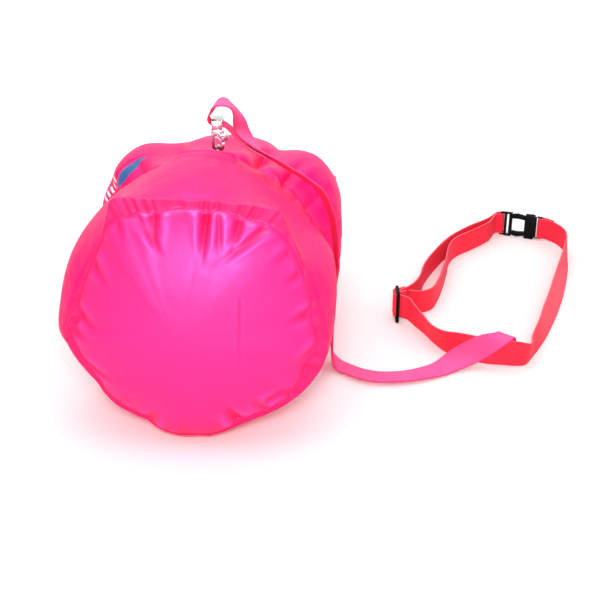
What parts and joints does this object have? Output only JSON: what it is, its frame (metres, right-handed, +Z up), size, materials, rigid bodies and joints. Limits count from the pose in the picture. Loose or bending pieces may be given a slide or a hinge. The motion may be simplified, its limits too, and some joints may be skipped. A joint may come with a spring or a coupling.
{
  "type": "inflatable swim float",
  "caption": "Inflatable two-chamber dry-bag swim float lying on its side, with a snap-hooked webbing leash and a waist belt with side-release buckle and slide adjuster.",
  "frame": {"origin": "middle of the flat patch on which the front air chamber rests on the floor", "axes": "+Z up, the float's axis along Y with the round welded end facing -Y and the rolled mouth facing +Y; the belt lies towards +X"},
  "size_m": [0.4729, 0.524, 0.2531],
  "materials": {
    "pink_film": "glossy hot pink coated film",
    "end_film": "glossy hot pink coated film",
    "bag_film": "hot pink coated film",
    "webbing": "woven flat webbing, red-pink",
    "black_plastic": "moulded black acetal",
    "nickel": "polished nickel plate",
    "steel": "spring steel",
    "valve_plastic": "soft white vinyl"
  },
  "bodies": {
    "float": {"front_air_chamber": "pink_film", "rear_air_chamber": "pink_film", "welded_end_panel": "end_film", "dry_bag_liner": "bag_film", "roll_top_collar": "bag_film", "rolled_mouth": "bag_film", "mouth_stiffener": "black_plastic", "closure_buckle_socket": "black_plastic", "closure_tab_left": "webbing", "closure_tab_right": "webbing", "anchor_patch": "pink_film", "d_ring_tab": "webbing", "front_valve_seat": "valve_plastic", "rear_valve_seat": "valve_plastic", "leash_webbing_upper": "webbing"},
    "d_ring": {"d_ring": "nickel"},
    "snap_hook": {"snap_hook_body": "nickel", "snap_hook_gate_pin": "steel", "snap_hook_spring": "steel"},
    "hook_gate": {"snap_hook_gate": "nickel"},
    "swivel_eye": {"swivel_eye": "nickel"},
    "belt": {"belt_webbing_main": "webbing", "belt_webbing_adjuster_run": "webbing", "belt_buckle_socket": "black_plastic", "leash_webbing_lower": "webbing"},
    "belt_adjuster": {"belt_adjuster": "black_plastic"},
    "belt_plug": {"belt_buckle_plug": "black_plastic"},
    "belt_arm_upper": {"belt_buckle_arm_upper": "black_plastic"},
    "belt_arm_lower": {"belt_buckle_arm_lower": "black_plastic"},
    "closure_plug": {"closure_buckle_plug": "black_plastic"},
    "closure_arm_upper": {"closure_buckle_arm_upper": "black_plastic"},
    "closure_arm_lower": {"closure_buckle_arm_lower": "black_plastic"},
    "front_valve_stem": {"front_valve_stem": "valve_plastic", "front_valve_cap_strap": "valve_plastic"},
    "front_valve_cap": {"front_valve_cap": "valve_plastic"},
    "rear_valve_stem": {"rear_valve_stem": "valve_plastic", "rear_valve_cap_strap": "valve_plastic"},
    "rear_valve_cap": {"rear_valve_cap": "valve_plastic"}
  },
  "joints": [
    {"name": "d_ring_swing", "type": "hinge", "parent": "float", "child": "d_ring", "pos_m": [0.01024, 0.0551, 0.2034], "axis": [-0.0872, 0.9962, 0], "range_deg": [-12, 12], "deforming": ["leash_webbing_upper"]},
    {"name": "hook_swing", "type": "hinge", "parent": "d_ring", "child": "snap_hook", "pos_m": [0.01024, 0.0551, 0.2146], "axis": [-0.0872, 0.9962, 0], "range_deg": [-12, 12]},
    {"name": "hook_gate_press", "type": "hinge", "parent": "snap_hook", "child": "hook_gate", "pos_m": [0.01412, 0.05544, 0.2254], "axis": [-0.0872, 0.9962, 0], "range_deg": [0, 28], "stiffness_Nm_per_rad": 0.01, "deforming": ["snap_hook_spring"]},
    {"name": "eye_swivel", "type": "hinge", "parent": "snap_hook", "child": "swivel_eye", "pos_m": [0.01024, 0.0551, 0.228], "axis": [0, 0, 1], "range_deg": [-20, 20]},
    {"name": "leash_swing", "type": "hinge", "parent": "float", "child": "belt", "pos_m": [0.10795, 0.07871, 0], "axis": [0, 0, 1], "range_deg": [-20, 20], "deforming": ["leash_webbing_lower"]},
    {"name": "belt_buckle_release", "type": "slide", "parent": "belt", "child": "belt_plug", "axis": [-0.9585, 0.2851, 0], "range_m": [0, 0.028], "deforming": ["belt_webbing_adjuster_run", "belt_buckle_arm_upper", "belt_buckle_arm_lower"]},
    {"name": "belt_arm_upper_press", "type": "hinge", "parent": "belt_plug", "child": "belt_arm_upper", "pos_m": [0.29941, 0.42774, 0.0252], "axis": [0.2851, 0.9585, 0], "range_deg": [0, 6], "stiffness_Nm_per_rad": 0.05},
    {"name": "belt_arm_lower_press", "type": "hinge", "parent": "belt_plug", "child": "belt_arm_lower", "pos_m": [0.29941, 0.42774, 0.0044], "axis": [0.2851, 0.9585, 0], "range_deg": [-6, 0], "stiffness_Nm_per_rad": 0.05},
    {"name": "belt_adjuster_tilt", "type": "hinge", "parent": "belt", "child": "belt_adjuster", "pos_m": [0.16359, 0.18396, 0.0169], "axis": [0, 0, 1], "range_deg": [-12, 12], "deforming": ["belt_webbing_main"]},
    {"name": "closure_buckle_release", "type": "slide", "parent": "float", "child": "closure_plug", "axis": [-1, 0, 0], "range_m": [0, 0.028], "deforming": ["closure_tab_left", "closure_buckle_arm_upper", "closure_buckle_arm_lower"]},
    {"name": "closure_arm_upper_press", "type": "hinge", "parent": "closure_plug", "child": "closure_arm_upper", "pos_m": [-0.02, 0.2905, 0.1154], "axis": [0, 1, 0], "range_deg": [0, 6], "stiffness_Nm_per_rad": 0.05},
    {"name": "closure_arm_lower_press", "type": "hinge", "parent": "closure_plug", "child": "closure_arm_lower", "pos_m": [-0.02, 0.2905, 0.0946], "axis": [0, 1, 0], "range_deg": [-6, 0], "stiffness_Nm_per_rad": 0.05},
    {"name": "front_valve_pull", "type": "slide", "parent": "float", "child": "front_valve_stem", "axis": [-0.7612, 0.2044, -0.6155], "range_m": [0, 0.009]},
    {"name": "front_valve_cap_open", "type": "hinge", "parent": "front_valve_stem", "child": "front_valve_cap", "pos_m": [-0.09899, 0.01958, 0.03555], "axis": [0.6287, 0, -0.7776], "range_deg": [0, 110]},
    {"name": "rear_valve_pull", "type": "slide", "parent": "float", "child": "rear_valve_stem", "axis": [-0.8181, -0.0516, -0.5728], "range_m": [0, 0.009]},
    {"name": "rear_valve_cap_open", "type": "hinge", "parent": "rear_valve_stem", "child": "rear_valve_cap", "pos_m": [-0.09506, 0.14094, 0.03843], "axis": [0.5736, 0, -0.8192], "range_deg": [0, 110]}
  ],
  "couplings": [
    {"joint": "belt_arm_lower_press", "follows": "belt_arm_upper_press", "ratio": -1},
    {"joint": "closure_arm_lower_press", "follows": "closure_arm_upper_press", "ratio": -1}
  ]
}
